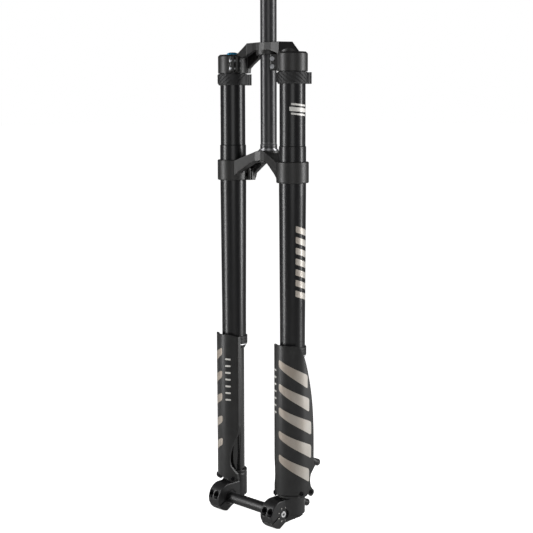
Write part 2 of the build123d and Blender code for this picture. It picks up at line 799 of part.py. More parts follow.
# ---- write every sub-part ----
for name, s in SIDES.items():
    write(f"outer_leg_{name}", for_side(outer_leg(), s))
    write(f"frame_bumper_{name}", for_side(frame_bumper(), s))
    write(f"wiper_seal_{name}", for_side(wiper_seal(), s))
    write(f"wiper_spring_{name}", for_side(wiper_spring(), s))
    write(f"oil_seal_{name}", for_side(oil_seal(), s))
    write(f"outer_bushing_{name}", for_side(outer_bushing(), s))
    write(f"top_cap_{name}", top_cap(s))
    write(f"inner_leg_{name}", for_side(inner_leg(), s))
    write(f"inner_bushing_{name}", for_side(inner_bushing(), s))
    write(f"dropout_{name}", dropout(name))
    write(f"leg_guard_{name}", for_side(leg_guard(), s))

single_parts = [
    steerer_tube, lower_crown, upper_crown,
    upper_crown_leg_screws, steerer_clamp_screws, lower_crown_screws,
    damper_tube, compression_stem, compression_valve, compression_needle, compression_knob,
    damper_seal_head, damper_rod, rebound_piston, piston_band, rebound_needle, rebound_knob,
    damper_foot_nut, damper_foot_plug,
    air_shaft, air_piston, air_piston_seal, top_out_bumper, bottom_out_bumper, air_seal_head,
    air_foot_plug, air_valve, air_valve_cap,
    axle_pinch_screws, guard_screws, thru_axle, axle_drive_plug,
]
for make in single_parts:
    write(make.__name__, make())
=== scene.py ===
# %% [markdown]
# # An inverted dual-crown suspension fork
# A downhill fork for a bicycle.  Two gloss black outer legs are clamped by two crowns, and two
# slimmer inner legs slide up into them.  Moulded guards screwed to the dropouts shield the
# inner legs.  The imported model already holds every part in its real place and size, so this
# script gives each part its finish, softens the forged edges, and adds the printed graphics.

# %% Load the fixed frame
from math import cos, radians, sin

import bmesh
import bpy
from mathutils import Matrix, Vector


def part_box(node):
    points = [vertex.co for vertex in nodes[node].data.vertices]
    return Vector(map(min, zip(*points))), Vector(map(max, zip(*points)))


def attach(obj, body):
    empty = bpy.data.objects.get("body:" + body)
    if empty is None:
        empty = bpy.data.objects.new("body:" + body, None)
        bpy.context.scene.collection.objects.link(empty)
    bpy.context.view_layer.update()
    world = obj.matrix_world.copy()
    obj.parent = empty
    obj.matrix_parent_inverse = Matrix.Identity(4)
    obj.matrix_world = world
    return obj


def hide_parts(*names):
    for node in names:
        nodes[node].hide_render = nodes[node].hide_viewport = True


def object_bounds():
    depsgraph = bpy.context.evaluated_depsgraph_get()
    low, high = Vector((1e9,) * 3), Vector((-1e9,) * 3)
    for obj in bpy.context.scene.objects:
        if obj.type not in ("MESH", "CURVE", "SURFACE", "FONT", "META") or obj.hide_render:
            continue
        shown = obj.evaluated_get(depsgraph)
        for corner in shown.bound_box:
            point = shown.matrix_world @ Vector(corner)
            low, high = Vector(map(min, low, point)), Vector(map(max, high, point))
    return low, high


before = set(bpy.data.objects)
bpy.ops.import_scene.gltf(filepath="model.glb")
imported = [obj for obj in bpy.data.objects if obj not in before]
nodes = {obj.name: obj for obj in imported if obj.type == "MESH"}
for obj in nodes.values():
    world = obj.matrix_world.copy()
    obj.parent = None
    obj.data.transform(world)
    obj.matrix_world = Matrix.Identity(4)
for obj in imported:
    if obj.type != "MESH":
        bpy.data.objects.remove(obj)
cad_low, cad_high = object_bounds()
MM = 0.001
print("parts in the frame:", len(nodes))

# %% [markdown]
# ## Where things are
# Every place comes from the boxes of the parts themselves.  A leg's axis is the middle of its
# outer tube, and the wall a print wraps is measured where the print sits.  When a part moves
# in the model, what is built on it here moves too.

# %% Leg axes and heights
SIDES = {"left": 1, "right": -1}


def middle(node):
    """Centre of a part's box."""
    low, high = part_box(node)
    return (low + high) / 2


leg_axis = {side: middle(f"outer_leg_{side}") for side in SIDES}
floor_height = cad_low.z
print("leg axes at x =", [round(a.x, 4) for a in leg_axis.values()])

# %% [markdown]
# ## Camera
# The fork is seen from its front left, a little above the middle, with a long lens, so that the
# legs stay nearly parallel.  The camera aims at a point on the steerer's axis, and its place
# follows from an azimuth, an elevation and a distance, which are easier to read than a matrix.

# %% Place the camera
AZIMUTH, ELEVATION, ROLL = radians(45.89), radians(7.34), radians(-0.15)
DISTANCE = 2.12774
AIM_RIGHT, AIM_UP = -0.00444, -0.20876
SENSOR_MM, LENS_MM = 36.0, 80.53

view_back = Vector((sin(AZIMUTH) * cos(ELEVATION), -cos(AZIMUTH) * cos(ELEVATION), sin(ELEVATION)))
view_right = Vector((cos(AZIMUTH), sin(AZIMUTH), 0))
view_up = view_back.cross(view_right)
turned_right = view_right * cos(ROLL) + view_up * sin(ROLL)
turned_up = view_up * cos(ROLL) - view_right * sin(ROLL)
aim = view_right * AIM_RIGHT + Vector((0, 0, AIM_UP))

camera = bpy.data.objects.new("camera", bpy.data.cameras.new("camera"))
camera.data.sensor_width = SENSOR_MM
camera.data.lens = LENS_MM
camera.matrix_world = Matrix.Translation(aim + view_back * DISTANCE) @ Matrix(
    (turned_right, turned_up, view_back)).transposed().to_4x4()
bpy.context.scene.collection.objects.link(camera)
bpy.context.scene.camera = camera
print("camera at", [round(v, 3) for v in camera.matrix_world.translation])

# %% [markdown]
# ## Studio
# A black tube is drawn by what it reflects.  Two tall strip lights, one on each side of the
# camera, leave the long narrow highlights that show each tube is round.  A broad dim light
# in front keeps the crowns readable.  It has hardly any gloss, because a third bright strip on
# the tubes would spoil the first two.


# %% Lights
def strip_light(name, azimuth, distance, width, height, power, centre_z):
    """Tall area light standing at an azimuth round the fork and facing it; metres and watts."""
    light = bpy.data.lights.new(name, "AREA")
    light.shape = "RECTANGLE"
    light.size = width
    light.size_y = height
    light.energy = power
    spot = bpy.data.objects.new(name, light)
    around = radians(azimuth)
    place = Vector((sin(around) * distance, -cos(around) * distance, centre_z))
    facing = (place - Vector((0, 0, centre_z))).to_track_quat("Z", "Y")
    spot.matrix_world = Matrix.Translation(place) @ facing.to_matrix().to_4x4()
    bpy.context.scene.collection.objects.link(spot)
    return spot


strip_light("strip_right", azimuth=128, distance=1.6, width=0.34, height=1.4, power=23, centre_z=0.15)
strip_light("strip_left", azimuth=-34, distance=1.6, width=0.32, height=1.9, power=25, centre_z=-0.05)
fill = strip_light("front_fill", azimuth=46, distance=2.6, width=1.2, height=1.6, power=10, centre_z=0.5)
fill.data.specular_factor = 0.12

# %% [markdown]
# ## Colours and nodes
# Paint charts and web pickers give colours as sRGB hex values, and a shader wants linear light.
# One function turns one into the other.  A second small function adds any shader node with its
# settings, its fixed inputs and its links, so each material reads as a short list of layers.


# %% Colour and node helpers
def linear(hex_colour):
    """sRGB hex colour as linear RGBA."""
    channels = [int(hex_colour[i:i + 2], 16) / 255 for i in (1, 3, 5)]
    return [c / 12.92 if c <= 0.04045 else ((c + 0.055) / 1.055) ** 2.4 for c in channels] + [1.0]


def add(tree, kind, links=None, inputs=None, **settings):
    """Adds a shader node with its settings, fixed inputs and links."""
    made = tree.nodes.new(kind)
    for name, value in settings.items():
        setattr(made, name, value)
    for name, value in (inputs or {}).items():
        made.inputs[name].default_value = value
    for name, socket in (links or {}).items():
        tree.links.new(socket, made.inputs[name])
    return made


def new_finish(name, roughness, metallic=0.0, **shader_inputs):
    """Material with a Principled shader; returns the material, its tree and the shader."""
    material = bpy.data.materials.new(name)
    material.use_nodes = True
    tree = material.node_tree
    shader = tree.nodes["Principled BSDF"]
    shader.inputs["Roughness"].default_value = roughness
    shader.inputs["Metallic"].default_value = metallic
    for socket, value in shader_inputs.items():
        shader.inputs[socket.replace("_", " ")].default_value = value
    return material, tree, shader


print("mid grey #808080 in linear light:", round(linear("#808080")[0], 3))

# %% [markdown]
# ## Grain, blends and bump
# No real surface is one flat tone.  Soft noise with blobs of a known size in millimetres varies
# the colour and the roughness, and a very shallow bump breaks the highlight where the surface
# is blasted or moulded.  These helpers are shared by all the finishes below.


# %% Pattern helpers
def place_of(tree):
    """Socket with the point's place on the fork, in metres."""
    return add(tree, "ShaderNodeTexCoord").outputs["Object"]


def grain(tree, size_mm, detail=3.0, stretch=(1, 1, 1)):
    """Noise whose blobs are size_mm across, drawn out by stretch along each axis."""
    scaled = add(tree, "ShaderNodeMapping", {"Vector": place_of(tree)},
                 {"Scale": [1 / s for s in stretch]})
    return add(tree, "ShaderNodeTexNoise", {"Vector": scaled.outputs[0]},
               {"Scale": 1 / (size_mm * MM), "Detail": detail, "Roughness": 0.55}).outputs["Fac"]


def blend_colours(tree, factor, first, second, low=0.35, high=0.65):
    """Goes from the first hex colour to the second as factor goes from low to high."""
    ramp = add(tree, "ShaderNodeValToRGB", {"Fac": factor})
    ramp.color_ramp.elements[0].position = low
    ramp.color_ramp.elements[1].position = high
    ramp.color_ramp.elements[0].color = linear(first)
    ramp.color_ramp.elements[1].color = linear(second)
    return ramp.outputs["Color"]


def spread(tree, factor, low, high):
    """Turns a 0.3 to 0.7 noise into a value from low to high."""
    return add(tree, "ShaderNodeMapRange", {"Value": factor},
               {"From Min": 0.3, "From Max": 0.7, "To Min": low, "To Max": high}).outputs["Result"]


def bump(tree, shader, height, depth_mm, strength):
    """Raises the surface by depth_mm where height is 1."""
    raised = add(tree, "ShaderNodeBump", {"Height": height},
                 {"Distance": depth_mm * MM, "Strength": strength})
    tree.links.new(raised.outputs["Normal"], shader.inputs["Normal"])


def painted_over(tree, mask, under, hex_colour):
    """Lays a hex colour over the colour under wherever mask is 1."""
    return add(tree, "ShaderNodeMix", {"Factor": mask, "A": under}, {"B": linear(hex_colour)},
               data_type="RGBA").outputs["Result"]


print("pattern helpers ready, 1 mm =", MM, "m")

# %% [markdown]
# ## Anodised aluminium
# The legs, the steerer and the crowns are all aluminium with a dyed oxide layer, yet they look
# different because of what was done before anodising.  The tubes are turned and polished, so
# the layer is glossy, with only a slow change of tone along the tube.  The crowns and dropouts
# are forged and blasted, so the same black is satin with a fine even grain.  The oxide is a
# clear glassy layer over dyed metal, which is why these use a dark base with a plain gloss and
# no metal.


# %% Gloss black hard-anodised tube
def hard_anodised_gloss_black():
    """Turned, polished and hard-anodised tube: deep black with a soft-edged highlight."""
    material, tree, shader = new_finish("hard_anodised_gloss_black", 0.29, IOR=1.5)
    cloud = grain(tree, 26.0, stretch=(1, 1, 6))
    tree.links.new(blend_colours(tree, cloud, "#0D0D0F", "#131315"), shader.inputs["Base Color"])
    tree.links.new(spread(tree, cloud, 0.27, 0.32), shader.inputs["Roughness"])
    return material


GLOSS_BLACK = hard_anodised_gloss_black()
print("finish:", GLOSS_BLACK.name)

# %% [markdown]
# ## Sliding tubes
# The inner legs run through the seals, so they are superfinished before anodising and are the
# glossiest black of all.  Faint streaks along the tube are where the seals have rubbed.


# %% Sliding tube
def polished_anodised_slider():
    """Inner leg: superfinished so that the seals slide, then anodised black."""
    material, tree, shader = new_finish("polished_anodised_slider", 0.12, IOR=1.62)
    cloud = grain(tree, 20.0, stretch=(1, 1, 8))
    tree.links.new(blend_colours(tree, cloud, "#101011", "#191919"), shader.inputs["Base Color"])
    wear = grain(tree, 3.0, detail=4.0, stretch=(1, 1, 40))
    tree.links.new(spread(tree, wear, 0.1, 0.22), shader.inputs["Roughness"])
    return material


SLIDER = polished_anodised_slider()
print("finish:", SLIDER.name)

# %% [markdown]
# ## Forged and blasted parts
# Bead blasting leaves tiny dents all over a forging, and anodising keeps them, so crowns and
# dropouts are satin.  Real dents are about 0.1 mm wide, which would not show from where the
# camera stands, so the grain here is drawn a few times coarser.


# %% Satin forging
def blasted_forging(name, dark, light, roughness):
    """Forged and bead-blasted aluminium, anodised satin black."""
    material, tree, shader = new_finish(name, roughness, IOR=1.55)
    patches = grain(tree, 9.0, detail=5.0)
    tree.links.new(blend_colours(tree, patches, dark, light), shader.inputs["Base Color"])
    blast = grain(tree, 0.6, detail=2.0)
    tree.links.new(spread(tree, blast, roughness - 0.05, roughness + 0.08), shader.inputs["Roughness"])
    bump(tree, shader, blast, depth_mm=0.03, strength=0.6)
    return material


FORGED = blasted_forging("blasted_satin_forging", "#131313", "#1C1B1A", 0.42)
DROPOUT = blasted_forging("blasted_satin_dropout", "#131314", "#1D1D1E", 0.36)
print("finishes:", FORGED.name, DROPOUT.name)

# %% [markdown]
# ## The steerer
# The steerer is pressed into the lower crown after anodising.  Its foot is machined bare where
# the headset's race sits, so a bright ring shows just above the crown, and a little higher a
# faint paler band runs round it.  Both are placed by height, with steps between the colours.

# %% Steerer with its bare ring
RING_TOP_MM = 1.2
BAND_MM = (6.0, 12.0)


def steerer_finish():
    """Satin black tube with a bare machined ring at its foot and a faint paler band above it."""
    material, tree, shader = new_finish("satin_anodised_steerer", 0.3, IOR=1.6)
    height = add(tree, "ShaderNodeSeparateXYZ", {"Vector": place_of(tree)}).outputs["Z"]
    bare = add(tree, "ShaderNodeMath", {0: height}, {1: RING_TOP_MM * MM}, operation="LESS_THAN")
    above = add(tree, "ShaderNodeMath", {0: height}, {1: BAND_MM[0] * MM}, operation="GREATER_THAN")
    below = add(tree, "ShaderNodeMath", {0: height}, {1: BAND_MM[1] * MM}, operation="LESS_THAN")
    band = add(tree, "ShaderNodeMath", {0: above.outputs[0], 1: below.outputs[0]}, operation="MULTIPLY")
    black = blend_colours(tree, grain(tree, 18.0, stretch=(1, 1, 6)), "#17171A", "#212124")
    banded = painted_over(tree, band.outputs[0], black, "#3A3A3C")
    tree.links.new(painted_over(tree, bare.outputs[0], banded, "#8C8C8E"), shader.inputs["Base Color"])
    tree.links.new(bare.outputs[0], shader.inputs["Metallic"])
    turned = grain(tree, 8.0, detail=2.0, stretch=(8, 8, 1))
    tree.links.new(spread(tree, turned, 0.32, 0.4), shader.inputs["Roughness"])
    return material


STEERER = steerer_finish()
print("finish:", STEERER.name)

# %% [markdown]
# ## Bare metal
# The inner parts of a fork are left as the machine made them.  Turned aluminium shows fine
# rings, ground steel is smoother and a little darker, and screws are either zinc plated or
# blackened.  A metal's colour goes in the base colour, with metallic at 1 and the default IOR.


# %% Turned, ground and plated metals
def bare_metal(name, dark, light, rough_low, rough_high, ring_mm=0.5):
    """Machined metal with turning rings ring_mm apart and slight changes of tone."""
    material, tree, shader = new_finish(name, rough_low, metallic=1.0)
    tone = grain(tree, 5.0, detail=4.0)
    tree.links.new(blend_colours(tree, tone, dark, light), shader.inputs["Base Color"])
    rings = grain(tree, ring_mm, detail=2.0, stretch=(24, 24, 1))
    tree.links.new(spread(tree, rings, rough_low, rough_high), shader.inputs["Roughness"])
    bump(tree, shader, rings, depth_mm=0.006, strength=0.6)
    return material


TURNED = bare_metal("turned_aluminium", "#B9B9BB", "#D3D3D5", 0.24, 0.38)
PLUG = bare_metal("polished_plug", "#E2E2E3", "#F2F2F3", 0.34, 0.48)
GROUND = bare_metal("ground_steel", "#A2A2A4", "#BCBCBE", 0.14, 0.26, ring_mm=0.3)
SPRING = bare_metal("bright_spring_steel", "#D8D8DA", "#EEEEF0", 0.36, 0.5, ring_mm=0.3)
BLACK_OXIDE = bare_metal("black_oxide_steel", "#1C1C1E", "#2C2C2E", 0.3, 0.44, ring_mm=0.4)
ZINC = bare_metal("zinc_plated_steel", "#9C9DA0", "#BCBDC0", 0.22, 0.34, ring_mm=0.4)
NICKEL = bare_metal("nickel_plated_brass", "#B7A67C", "#CDBF97", 0.2, 0.32)
print("metals:", [metal.name for metal in (TURNED, PLUG, GROUND, SPRING, BLACK_OXIDE, ZINC, NICKEL)])

# %% [markdown]
# ## Dyed knobs
# The two adjusters are coloured so that the rider can tell them apart: blue for compression and
# red for rebound.  The dye in the oxide is transparent, so the metal shines through it.


# %% Dyed aluminium
def dyed_knob(name, dark, light):
    """Turned aluminium knob with a thin transparent dye: the metal shines through the colour."""
    material, tree, shader = new_finish(name, 0.28, metallic=1.0, Coat_Weight=0.3)
    tone = grain(tree, 3.0, detail=3.0)
    tree.links.new(blend_colours(tree, tone, dark, light), shader.inputs["Base Color"])
    tree.links.new(spread(tree, tone, 0.24, 0.36), shader.inputs["Roughness"])
    return material


BLUE_KNOB = dyed_knob("blue_dyed_aluminium", "#2389B8", "#3BAADB")
RED_KNOB = dyed_knob("red_dyed_aluminium", "#9E1212", "#C42222")
print("knobs:", BLUE_KNOB.name, RED_KNOB.name)

# %% [markdown]
# ## Rubber, elastomer and plastic
# Seals and bumpers are moulded rubber: matt, dark, and never quite one tone, because talc and
# dust stay in the skin.  The guards are moulded plastic with a fine texture etched into the
# mould, which breaks the highlight without hiding it.


# %% Moulded materials
def moulded(name, dark, light, roughness, grain_mm, depth_mm):
    """Moulded plastic or rubber with an etched skin of grain_mm cells."""
    material, tree, shader = new_finish(name, roughness, IOR=1.5)
    dust = grain(tree, 16.0, detail=6.0)
    tree.links.new(blend_colours(tree, dust, dark, light), shader.inputs["Base Color"])
    skin = grain(tree, grain_mm, detail=3.0)
    tree.links.new(spread(tree, skin, roughness - 0.06, roughness + 0.08), shader.inputs["Roughness"])
    bump(tree, shader, skin, depth_mm, strength=0.7)
    return material


GUARD = moulded("moulded_guard_plastic", "#141414", "#1E1E1E", 0.36, grain_mm=0.9, depth_mm=0.02)
BUMPER = moulded("moulded_bumper_rubber", "#1D1D1E", "#2A2A2B", 0.62, grain_mm=0.8, depth_mm=0.05)
NITRILE = moulded("nitrile_seal_rubber", "#101011", "#1A1A1B", 0.5, grain_mm=0.5, depth_mm=0.02)
ELASTOMER = moulded("microcellular_elastomer", "#B59A3A", "#C7AE55", 0.7, grain_mm=0.6, depth_mm=0.08)
BUSHING = moulded("filled_bushing_polymer", "#4A4D38", "#5B5E46", 0.5, grain_mm=0.7, depth_mm=0.03)
print("moulded:", [stuff.name for stuff in (GUARD, BUMPER, NITRILE, ELASTOMER, BUSHING)])

# %% [markdown]
# ## Printed film
# The silver of a print is ink full of aluminium flakes.  Seen as a whole it is a warm pale grey
# that changes a little with the light, so it is partly metallic, with flakes in its grain.  Its
# colour is also painted paler towards the rear, a painted sheen, and the pale grey ink shares it.
# The flakes are drawn coarser than real ones so that they show.


# %% Metallic and pale inks
def printed_film_with_painted_sheen(name, dark, light, roughness, metallic):
    """Screen-printed metallic film: aluminium flakes in clear ink, with a painted sheen paler towards the
    rear.
    """
    material, tree, shader = new_finish(name, roughness, metallic=metallic, Coat_Weight=0.25)
    flakes = grain(tree, 0.7, detail=2.0)
    cloud = grain(tree, 28.0, detail=2.0, stretch=(1, 1, 2))
    summed = add(tree, "ShaderNodeMath", {0: flakes, 1: cloud}, operation="ADD")
    # Painted sheen: the ink's colour gets paler towards the rear and darker towards the front.
    rearward = add(tree, "ShaderNodeSeparateXYZ", {"Vector": place_of(tree)}).outputs["Y"]
    paler = add(tree, "ShaderNodeMapRange", {"Value": rearward},
                {"From Min": -0.05, "From Max": 0.01, "To Min": -0.25, "To Max": 0.25})
    tone_and_painted_sheen = add(tree, "ShaderNodeMath", {0: summed.outputs[0], 2: paler.outputs["Result"]},
                     {1: 0.5}, operation="MULTIPLY_ADD")
    tree.links.new(blend_colours(tree, tone_and_painted_sheen.outputs[0], dark, light, 0.25, 0.75),
                   shader.inputs["Base Color"])
    tree.links.new(spread(tree, flakes, roughness - 0.05, roughness + 0.1), shader.inputs["Roughness"])
    return material


SILVER_FILM = printed_film_with_painted_sheen("champagne_silver_film_painted_sheen", "#A1968A", "#C9C6C0", 0.42, metallic=0.3)
WHITE_FILM = printed_film_with_painted_sheen("pale_grey_film_painted_sheen", "#CFCDC8", "#EDEBE7", 0.45, metallic=0.1)
print("films:", SILVER_FILM.name, WHITE_FILM.name)

# %% [markdown]
# ## Hand out the finishes
# Each part keeps the shape it has in the frame and only gets its finish, by assigning it to the
# object's material slots.  A table from finish to parts is easier to check than a line a part.


# %% Assign finishes to the frame's parts
def both(part):
    """Names of a part's left and right nodes."""
    return [f"{part}_{side}" for side in SIDES]


FINISHES = [
    (GLOSS_BLACK, both("outer_leg") + both("top_cap")),
    (SLIDER, both("inner_leg")),
    (STEERER, ["steerer_tube"]),
    (FORGED, ["upper_crown", "lower_crown"]),
    (DROPOUT, both("dropout") + ["thru_axle"]),
    (GUARD, both("leg_guard") + ["air_valve_cap"]),
    (BUMPER, both("frame_bumper")),
    (NITRILE, both("wiper_seal") + both("oil_seal") + ["air_piston_seal"]),
    (ELASTOMER, ["top_out_bumper", "bottom_out_bumper"]),
    (BUSHING, both("outer_bushing") + both("inner_bushing") + ["piston_band"]),
    (TURNED, ["damper_tube", "compression_stem", "compression_valve", "damper_seal_head",
              "rebound_piston", "damper_foot_plug", "air_piston", "air_seal_head", "air_foot_plug"]),
    (PLUG, ["axle_drive_plug"]),
    (GROUND, ["damper_rod", "air_shaft", "compression_needle", "rebound_needle", "damper_foot_nut"]),
    (SPRING, both("wiper_spring")),
    (BLACK_OXIDE, ["axle_pinch_screws", "guard_screws", "steerer_clamp_screws", "lower_crown_screws"]),
    (ZINC, ["upper_crown_leg_screws"]),
    (NICKEL, ["air_valve"]),
    (BLUE_KNOB, ["compression_knob"]),
    (RED_KNOB, ["rebound_knob"]),
]

for finish, parts in FINISHES:
    for part in parts:
        for material_slot in nodes[part].material_slots:
            material_slot.material = finish
finished = [part for _, parts in FINISHES for part in parts]
print("finished parts:", len(finished), "missing:", sorted(set(nodes) - set(finished)))

# %% [markdown]
# ## From a bmesh to a piece
# A bmesh is a mesh on the workbench: it can be cut, bevelled and welded, but it isn't in the
# scene.  Every shape made here leaves the workbench in the same way, so one helper copies it
# into a mesh, gives it a finish, puts it in the scene and frees the bmesh.


# %% Piece helper
def piece_from(name, shape, finish):
    """Object in the scene made from a bmesh, which is then freed."""
    mesh = bpy.data.meshes.new(name)
    shape.to_mesh(mesh)
    shape.free()
    mesh.materials.append(finish)
    made = bpy.data.objects.new(name, mesh)
    bpy.context.scene.collection.objects.link(made)
    return made


# %% [markdown]
# ## Soft forged edges
# A forging has no sharp edge: the dies are rounded so that the metal flows, and tumbling
# softens what the mill leaves.  Bevelling every edge of such a branched shape by hand leaves
# gaps where many edges meet.  A fine voxel remesh followed by some smoothing rounds all edges
# by about the same small amount, inside and outside corners alike, and a light decimation then
# takes away the faces that the flat areas don't need.

# %% Round the forgings
WELD_MM = 0.001
VOXEL_MM = 0.6
SMOOTH_ROUNDS = 5
KEPT_FACES = 0.3


def softened(name, node, finish, body):
    """Stand-in for a forged part with all its edges rounded by about a voxel or two."""
    welded = bmesh.new()
    welded.from_mesh(nodes[node].data)
    bmesh.ops.remove_doubles(welded, verts=welded.verts, dist=WELD_MM * MM)
    piece = piece_from(name, welded, finish)
    remesh = piece.modifiers.new("remesh", "REMESH")
    remesh.mode = "VOXEL"
    remesh.voxel_size = VOXEL_MM * MM
    smooth = piece.modifiers.new("smooth", "SMOOTH")
    smooth.factor = 0.5
    smooth.iterations = SMOOTH_ROUNDS
    thin = piece.modifiers.new("thin", "DECIMATE")
    thin.ratio = KEPT_FACES
    shape = bpy.data.meshes.new_from_object(piece.evaluated_get(bpy.context.evaluated_depsgraph_get()))
    piece.modifiers.clear()
    piece.data = shape
    shape.name = name
    shape.materials.clear()
    shape.materials.append(finish)
    shape.shade_smooth()
    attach(piece, body)
    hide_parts(node)
    print(name, "faces:", len(shape.polygons))
    return piece


softened("forged_lower_crown", "lower_crown", FORGED, "upper_assembly")
softened("forged_upper_crown", "upper_crown", FORGED, "upper_assembly")
soft_dropouts = {
    side: softened(f"forged_dropout_{side}", f"dropout_{side}", DROPOUT,
                   "lower_assembly")
    for side in SIDES}

# %% [markdown]
# ## Printed graphics
# Forks carry printed bars and badges.  Here each print is a film of real thickness: a flat
# outline in millimetres gets rounded corners, is cut into narrow strips, and is then wrapped
# round the leg.  Across is the length round the leg from the point that faces straight out,
# negative towards the front, and up is the height.

# %% Outlines
RAY_START = 0.1  # metres out from an axis, beyond every part


def bar(across, up, width, height, lean=0.0, taper=1.0):
    """Four-cornered outline, leaning by lean across its width; taper shortens its front end."""
    front, rear = across - width / 2, across + width / 2
    return [(front, up + lean / 2 - height * taper / 2), (rear, up - lean / 2 - height / 2),
            (rear, up - lean / 2 + height / 2), (front, up + lean / 2 + height * taper / 2)]


def leg_radius(node, side, height):
    """Distance from a leg's axis to the outside of a part that wraps it, straight outwards."""
    centre = leg_axis[side]
    outward = Vector((SIDES[side], 0, 0))
    start = Vector((centre.x, centre.y, height)) + outward * RAY_START
    found, place, *_ = nodes[node].ray_cast(start, -outward)
    if not found:
        raise ValueError(f"nothing of {node} at height {height}")
    return abs(place.x - centre.x)


def steady(radius):
    """Function of height that gives the same radius everywhere."""
    return lambda z: radius


print("left tube's radius at its middle, mm:",
      round(leg_radius("outer_leg_left", "left", middle("outer_leg_left").z) / MM, 2))

# %% [markdown]
# ## Wrapping a film
# The flat patch is cut into strips narrow enough to bend, raised by the film's thickness, and
# each corner is then moved to its place on the wall.  The back is sunk a little into the wall,
# so that no gap shows between the print and the leg.

# %% Films wrapped round a leg
FILM_MM = 0.16
SUNK_MM = 0.02
STRIP_MM = 1.2
CORNER_STEPS = 4


def on_round_wall(side, radius, across, depth, height):
    """Point on a round wall."""
    turn = across / radius
    reach = radius + depth
    centre = leg_axis[side]
    return (centre.x + SIDES[side] * reach * cos(turn), centre.y + reach * sin(turn), height)


def on_guard_wall(side, radius, across, depth, height):
    """Point on the guard's wall, which is round in front and flat behind the leg's axis."""
    if across <= 0:
        return on_round_wall(side, radius, across, depth, height)
    centre = leg_axis[side]
    return (centre.x + SIDES[side] * (radius + depth), centre.y + across, height)


def cut(patch, place, normal, clear=False):
    """Cuts a patch along a plane; clear takes away what lies on the side of the normal."""
    bmesh.ops.bisect_plane(patch, geom=list(patch.verts) + list(patch.edges) + list(patch.faces),
                           plane_co=place, plane_no=normal, clear_outer=clear)


def film(name, side, outlines, corner_mm, radius_at, wall, finish, body,
         thickness_mm=FILM_MM, clip=()):
    """Patches of the given outlines (mm) wrapped round a leg, thickness_mm proud of its wall."""
    patch = bmesh.new()
    for outline in outlines:
        patch.faces.new([patch.verts.new((across * MM, 0, up * MM)) for across, up in outline])
    if corner_mm:
        bmesh.ops.bevel(patch, geom=list(patch.verts), offset=corner_mm * MM, segments=CORNER_STEPS,
                        profile=0.5, affect="VERTICES", material=-1)
    for height, direction in clip:
        cut(patch, (0, 0, height), (0, 0, direction), clear=True)
    low = min(v.co.x for v in patch.verts)
    high = max(v.co.x for v in patch.verts)
    cuts = int((high - low) / (STRIP_MM * MM))
    for k in range(1, cuts):
        cut(patch, (low + (high - low) * k / cuts, 0, 0), (1, 0, 0))
    skin = bmesh.ops.extrude_face_region(patch, geom=list(patch.faces))
    raised = [g for g in skin["geom"] if isinstance(g, bmesh.types.BMVert)]
    bmesh.ops.translate(patch, verts=raised, vec=(0, thickness_mm * MM, 0))
    for v in patch.verts:
        v.co = wall(side, radius_at(v.co.z), v.co.x, v.co.y - SUNK_MM * MM, v.co.z)
    bmesh.ops.recalc_face_normals(patch, faces=patch.faces)
    piece = piece_from(name, patch, finish)
    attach(piece, body)
    print(name, "faces:", len(piece.data.polygons))


print("film", FILM_MM, "mm thick, in strips of about", STRIP_MM, "mm")

# %% [markdown]
# ## Slashes on the guards
# The guards carry big silver slashes that run down towards the rear.  Separate tapered bars
# keep the rhythm of silver and black, and each one ends a few millimetres inside the guard's
# edge.  On the inner side of the front a column of small dashes runs down the guard.

# %% Guard graphics
SLASH_TOP = -383
SLASH_STEP = 42
SLASH_FRONT = -52
SLASH_REARS = [5, 9, 14, 14, 9]
DASH_TOP = -380
DASH_STEP = 12.5
GUARD_WALL_Z = -0.45  # metres, where the wall is measured; the sizes above are millimetres

for side in SIDES:
    guard_radius = leg_radius(f"leg_guard_{side}", side, GUARD_WALL_Z)
    slashes = []
    for k, rear in enumerate(SLASH_REARS):
        across = (SLASH_FRONT + rear) / 2
        slashes.append(bar(across, SLASH_TOP - SLASH_STEP * k, width=rear - SLASH_FRONT, height=24,
                           lean=34, taper=0.55))
    film(f"guard_slashes_{side}", side, slashes, 4.0, steady(guard_radius), on_guard_wall,
         SILVER_FILM, "lower_assembly")
    dashes = [bar(-64.5, DASH_TOP - DASH_STEP * k, width=10.5, height=3.2) for k in range(7)]
    film(f"guard_dashes_{side}", side, dashes, 1.2, steady(guard_radius), on_guard_wall,
         WHITE_FILM, "lower_assembly")

# %% [markdown]
# ## Bars and a badge on the outer legs
# Below the lower crown the outer tube carries a ladder of slanted bars, and above it a small
# badge.  The tube is slightly conical there, so the film's radius is measured at two heights
# and drawn in a straight line between them.

# %% Leg graphics
LADDER_TOP = -138
LADDER_STEP = 18.5
LADDER_Z = (-0.12, -0.27)  # metres, the two heights where the tube is measured
BADGE_Z = (0.08, 0.05)


def tapering_radius(node, side, high, low):
    """Function of height that gives the radius of a conical tube between two heights."""
    top, bottom = leg_radius(node, side, high), leg_radius(node, side, low)
    return lambda z: bottom + (top - bottom) * (z - low) / (high - low)


for side in SIDES:
    tube = f"outer_leg_{side}"
    ladder = [bar(1, LADDER_TOP - LADDER_STEP * k, width=27, height=11, lean=9) for k in range(7)]
    film(f"leg_bars_{side}", side, ladder, 1.6, tapering_radius(tube, side, *LADDER_Z),
         on_round_wall, SILVER_FILM, "upper_assembly")
    badge = [bar(-5, up, width, height, lean=3)
             for up, width, height in [(76.5, 30, 3.2), (68.5, 36, 7.0), (60.5, 30, 3.2)]]
    film(f"leg_badge_{side}", side, badge, 1.2, tapering_radius(tube, side, *BADGE_Z),
         on_round_wall, WHITE_FILM, "upper_assembly")

# %% [markdown]
# ## Ribs on the frame bumpers
# The rubber sleeves under the upper crown have slanted ribs so that they give a little when
# they hit the frame.  Ribs longer than the sleeve is tall are laid out slanting, clipped to
# its height, and wrapped like the prints, only thicker.

# %% Bumper ribs
RIB_COUNT = 13
RIB_STEP = 9
FIRST_RIB = -78
RIB_MM = 1.1
PLAIN_BELOW_MM, PLAIN_ABOVE_MM = 3.0, 1.8

